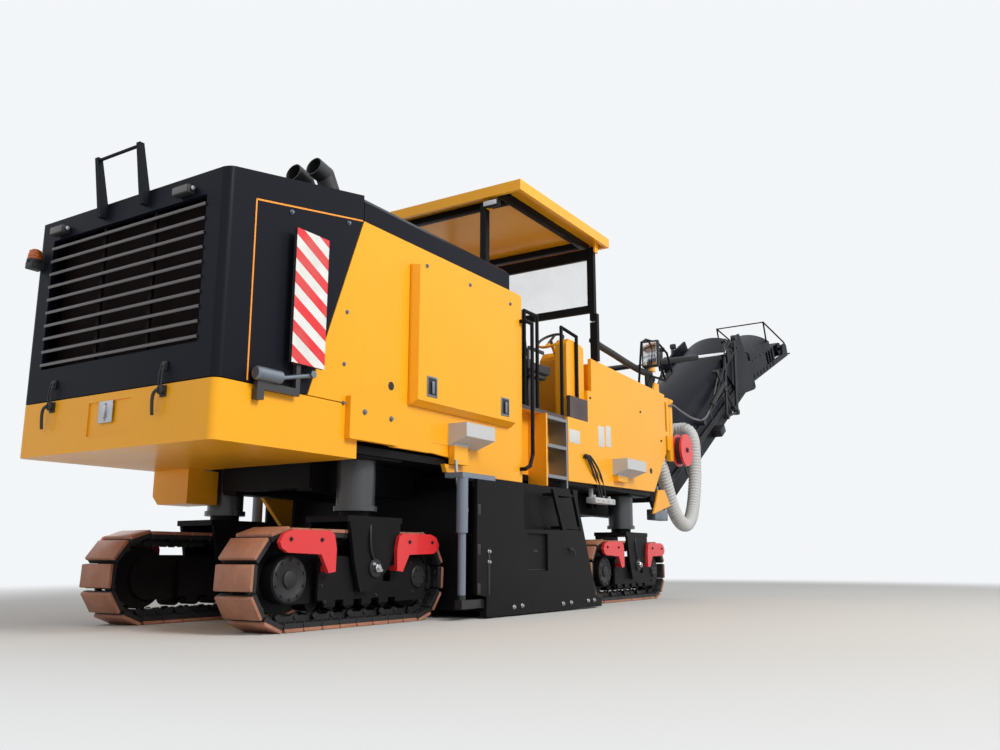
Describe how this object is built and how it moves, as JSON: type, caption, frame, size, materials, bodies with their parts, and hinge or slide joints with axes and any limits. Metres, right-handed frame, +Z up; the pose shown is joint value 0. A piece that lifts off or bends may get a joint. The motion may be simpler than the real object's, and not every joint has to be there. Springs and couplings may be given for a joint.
{
  "type": "cold planer milling machine",
  "caption": "Cold planer on steerable crawler tracks with a milling drum, an operator canopy and a slewing, luffing and folding discharge conveyor.",
  "frame": {"origin": "on the ground under the middle of the whole length and width", "axes": "+X forward towards the discharge conveyor, +Y to the left, +Z up"},
  "size_m": [15.1774, 2.5, 5.0536],
  "materials": {
    "belt_rubber": "matte",
    "board_white": "satin",
    "bright_steel": "brushed",
    "cast_grey": "rough",
    "charcoal_paint": "satin",
    "chrome_rod": "polished",
    "frame_paint": "satin",
    "glass": "clear",
    "hose_white": "matte",
    "lamp_plastic": "gloss",
    "maroon_paint": "satin",
    "pad_polyurethane": "matte",
    "red_paint": "satin",
    "seat_fabric": "matte",
    "yellow_paint": "satin"
  },
  "bodies": {
    "machine": {"chassis": "frame_paint", "skirt": "yellow_paint", "side_panels": "yellow_paint", "top_hood": "charcoal_paint", "front_body": "yellow_paint", "platform": "maroon_paint", "console": "yellow_paint", "seats": "seat_fabric", "handrails": "frame_paint", "ladders": "bright_steel", "engine_block": "cast_grey", "cooler": "cast_grey", "exhausts": "cast_grey", "tank_boxes": "yellow_paint", "lift_columns": "frame_paint", "drum_housing": "frame_paint", "side_plates": "frame_paint", "plate_cylinders": "frame_paint", "front_rails": "frame_paint", "lamp_boxes": "lamp_plastic", "warning_boards": "board_white", "reel": "red_paint", "dust_hose": "hose_white"},
    "rear_hood": {"rear_hood": "charcoal_paint", "louvres": "charcoal_paint", "hood_guard": "charcoal_paint", "lamps": "lamp_plastic"},
    "door_right": {"engine_door_right": "yellow_paint"},
    "door_left": {"engine_door_left": "yellow_paint"},
    "canopy_frame": {"canopy_frame": "frame_paint", "windscreen": "glass"},
    "canopy_roof": {"canopy_roof": "yellow_paint"},
    "canopy_posts": {"canopy_posts": "frame_paint"},
    "track_rr": {"track_frame_rr": "frame_paint", "track_loop_rr": "pad_polyurethane", "track_guards_rr": "red_paint"},
    "track_rl": {"track_frame_rl": "frame_paint", "track_loop_rl": "pad_polyurethane", "track_guards_rl": "red_paint"},
    "track_fr": {"track_frame_fr": "frame_paint", "track_loop_fr": "pad_polyurethane", "track_guards_fr": "red_paint"},
    "track_fl": {"track_frame_fl": "frame_paint", "track_loop_fl": "pad_polyurethane", "track_guards_fl": "red_paint"},
    "drum": {"milling_drum": "cast_grey"},
    "slew_frame": {"slew_frame": "frame_paint"},
    "conveyor_lower": {"lower_section": "charcoal_paint", "lower_belt": "belt_rubber"},
    "conveyor_upper": {"upper_section": "charcoal_paint", "upper_belt": "belt_rubber"},
    "luff_barrels": {"luff_barrels": "frame_paint"},
    "luff_rods": {"luff_rods": "chrome_rod"}
  },
  "joints": [
    {"name": "rear_hood_swing", "type": "hinge", "parent": "machine", "child": "rear_hood", "pos_m": [-6.13368, 0, 3.292], "axis": [0, 1, 0], "range_deg": [0, 45]},
    {"name": "door_right_swing", "type": "hinge", "parent": "machine", "child": "door_right", "pos_m": [-6.13868, -1.0623, 2.894], "axis": [-1, 0, 0], "range_deg": [0, 80]},
    {"name": "door_left_swing", "type": "hinge", "parent": "machine", "child": "door_left", "pos_m": [-6.13868, 1.0623, 2.894], "axis": [1, 0, 0], "range_deg": [0, 80]},
    {"name": "canopy_lean", "type": "hinge", "parent": "machine", "child": "canopy_frame", "pos_m": [-2.05368, 0, 3.23], "axis": [0, -1, 0], "range_deg": [0, 60]},
    {"name": "rear_posts_lean", "type": "hinge", "parent": "machine", "child": "canopy_posts", "pos_m": [-3.83368, 0, 3.23], "axis": [0, -1, 0], "range_deg": [0, 60]},
    {"name": "canopy_level", "type": "hinge", "parent": "canopy_frame", "child": "canopy_roof", "pos_m": [-2.05368, 0, 4.05], "axis": [0, -1, 0], "range_deg": [-60, 0]},
    {"name": "rear_right_steer", "type": "hinge", "parent": "machine", "child": "track_rr", "pos_m": [-5.77368, -0.738, 0.5], "axis": [0, 0, 1], "range_deg": [-14, 14]},
    {"name": "rear_left_steer", "type": "hinge", "parent": "machine", "child": "track_rl", "pos_m": [-5.77368, 0.738, 0.5], "axis": [0, 0, 1], "range_deg": [-14, 14]},
    {"name": "front_right_steer", "type": "hinge", "parent": "machine", "child": "track_fr", "pos_m": [-0.83368, -0.738, 0.5], "axis": [0, 0, 1], "range_deg": [-25, 25]},
    {"name": "front_left_steer", "type": "hinge", "parent": "machine", "child": "track_fl", "pos_m": [-0.83368, 0.738, 0.5], "axis": [0, 0, 1], "range_deg": [-25, 25]},
    {"name": "drum_spin", "type": "hinge", "parent": "machine", "child": "drum", "pos_m": [-3.62368, 0, 0.54], "axis": [0, 1, 0], "continuous": true},
    {"name": "conveyor_slew", "type": "hinge", "parent": "machine", "child": "slew_frame", "pos_m": [0.52632, 0, 1.7], "axis": [0, 0, 1], "range_deg": [-42, 48], "deforming": ["dust_hose"]},
    {"name": "conveyor_luff", "type": "hinge", "parent": "slew_frame", "child": "conveyor_lower", "pos_m": [0.94574, -0.02198, 1.43], "axis": [-0.0523, -0.9986, 0], "range_deg": [-12, 6]},
    {"name": "conveyor_fold", "type": "hinge", "parent": "conveyor_lower", "child": "conveyor_upper", "pos_m": [5.15896, -0.24279, 3.64182], "axis": [0.0523, 0.9986, 0], "range_deg": [-10, 125]},
    {"name": "luff_cylinder_lean", "type": "hinge", "parent": "slew_frame", "child": "luff_barrels", "pos_m": [0.74602, -0.01151, 3.25], "axis": [-0.0523, -0.9986, 0], "range_deg": [-12.47, 6.26]},
    {"name": "luff_cylinder_reach", "type": "slide", "parent": "luff_barrels", "child": "luff_rods", "axis": [0.9713, -0.0509, 0.2322], "range_m": [-0.192, 0.383]}
  ],
  "couplings": [
    {"joint": "rear_posts_lean", "follows": "canopy_lean", "ratio": 1},
    {"joint": "canopy_level", "follows": "canopy_lean", "ratio": -1},
    {"joint": "rear_left_steer", "follows": "rear_right_steer", "ratio": 1},
    {"joint": "front_left_steer", "follows": "front_right_steer", "ratio": 1},
    {"joint": "luff_cylinder_lean", "follows": "conveyor_luff", "ratio": 1.0348},
    {"joint": "luff_cylinder_reach", "follows": "conveyor_luff", "m_per_rad": -1.8241}
  ]
}
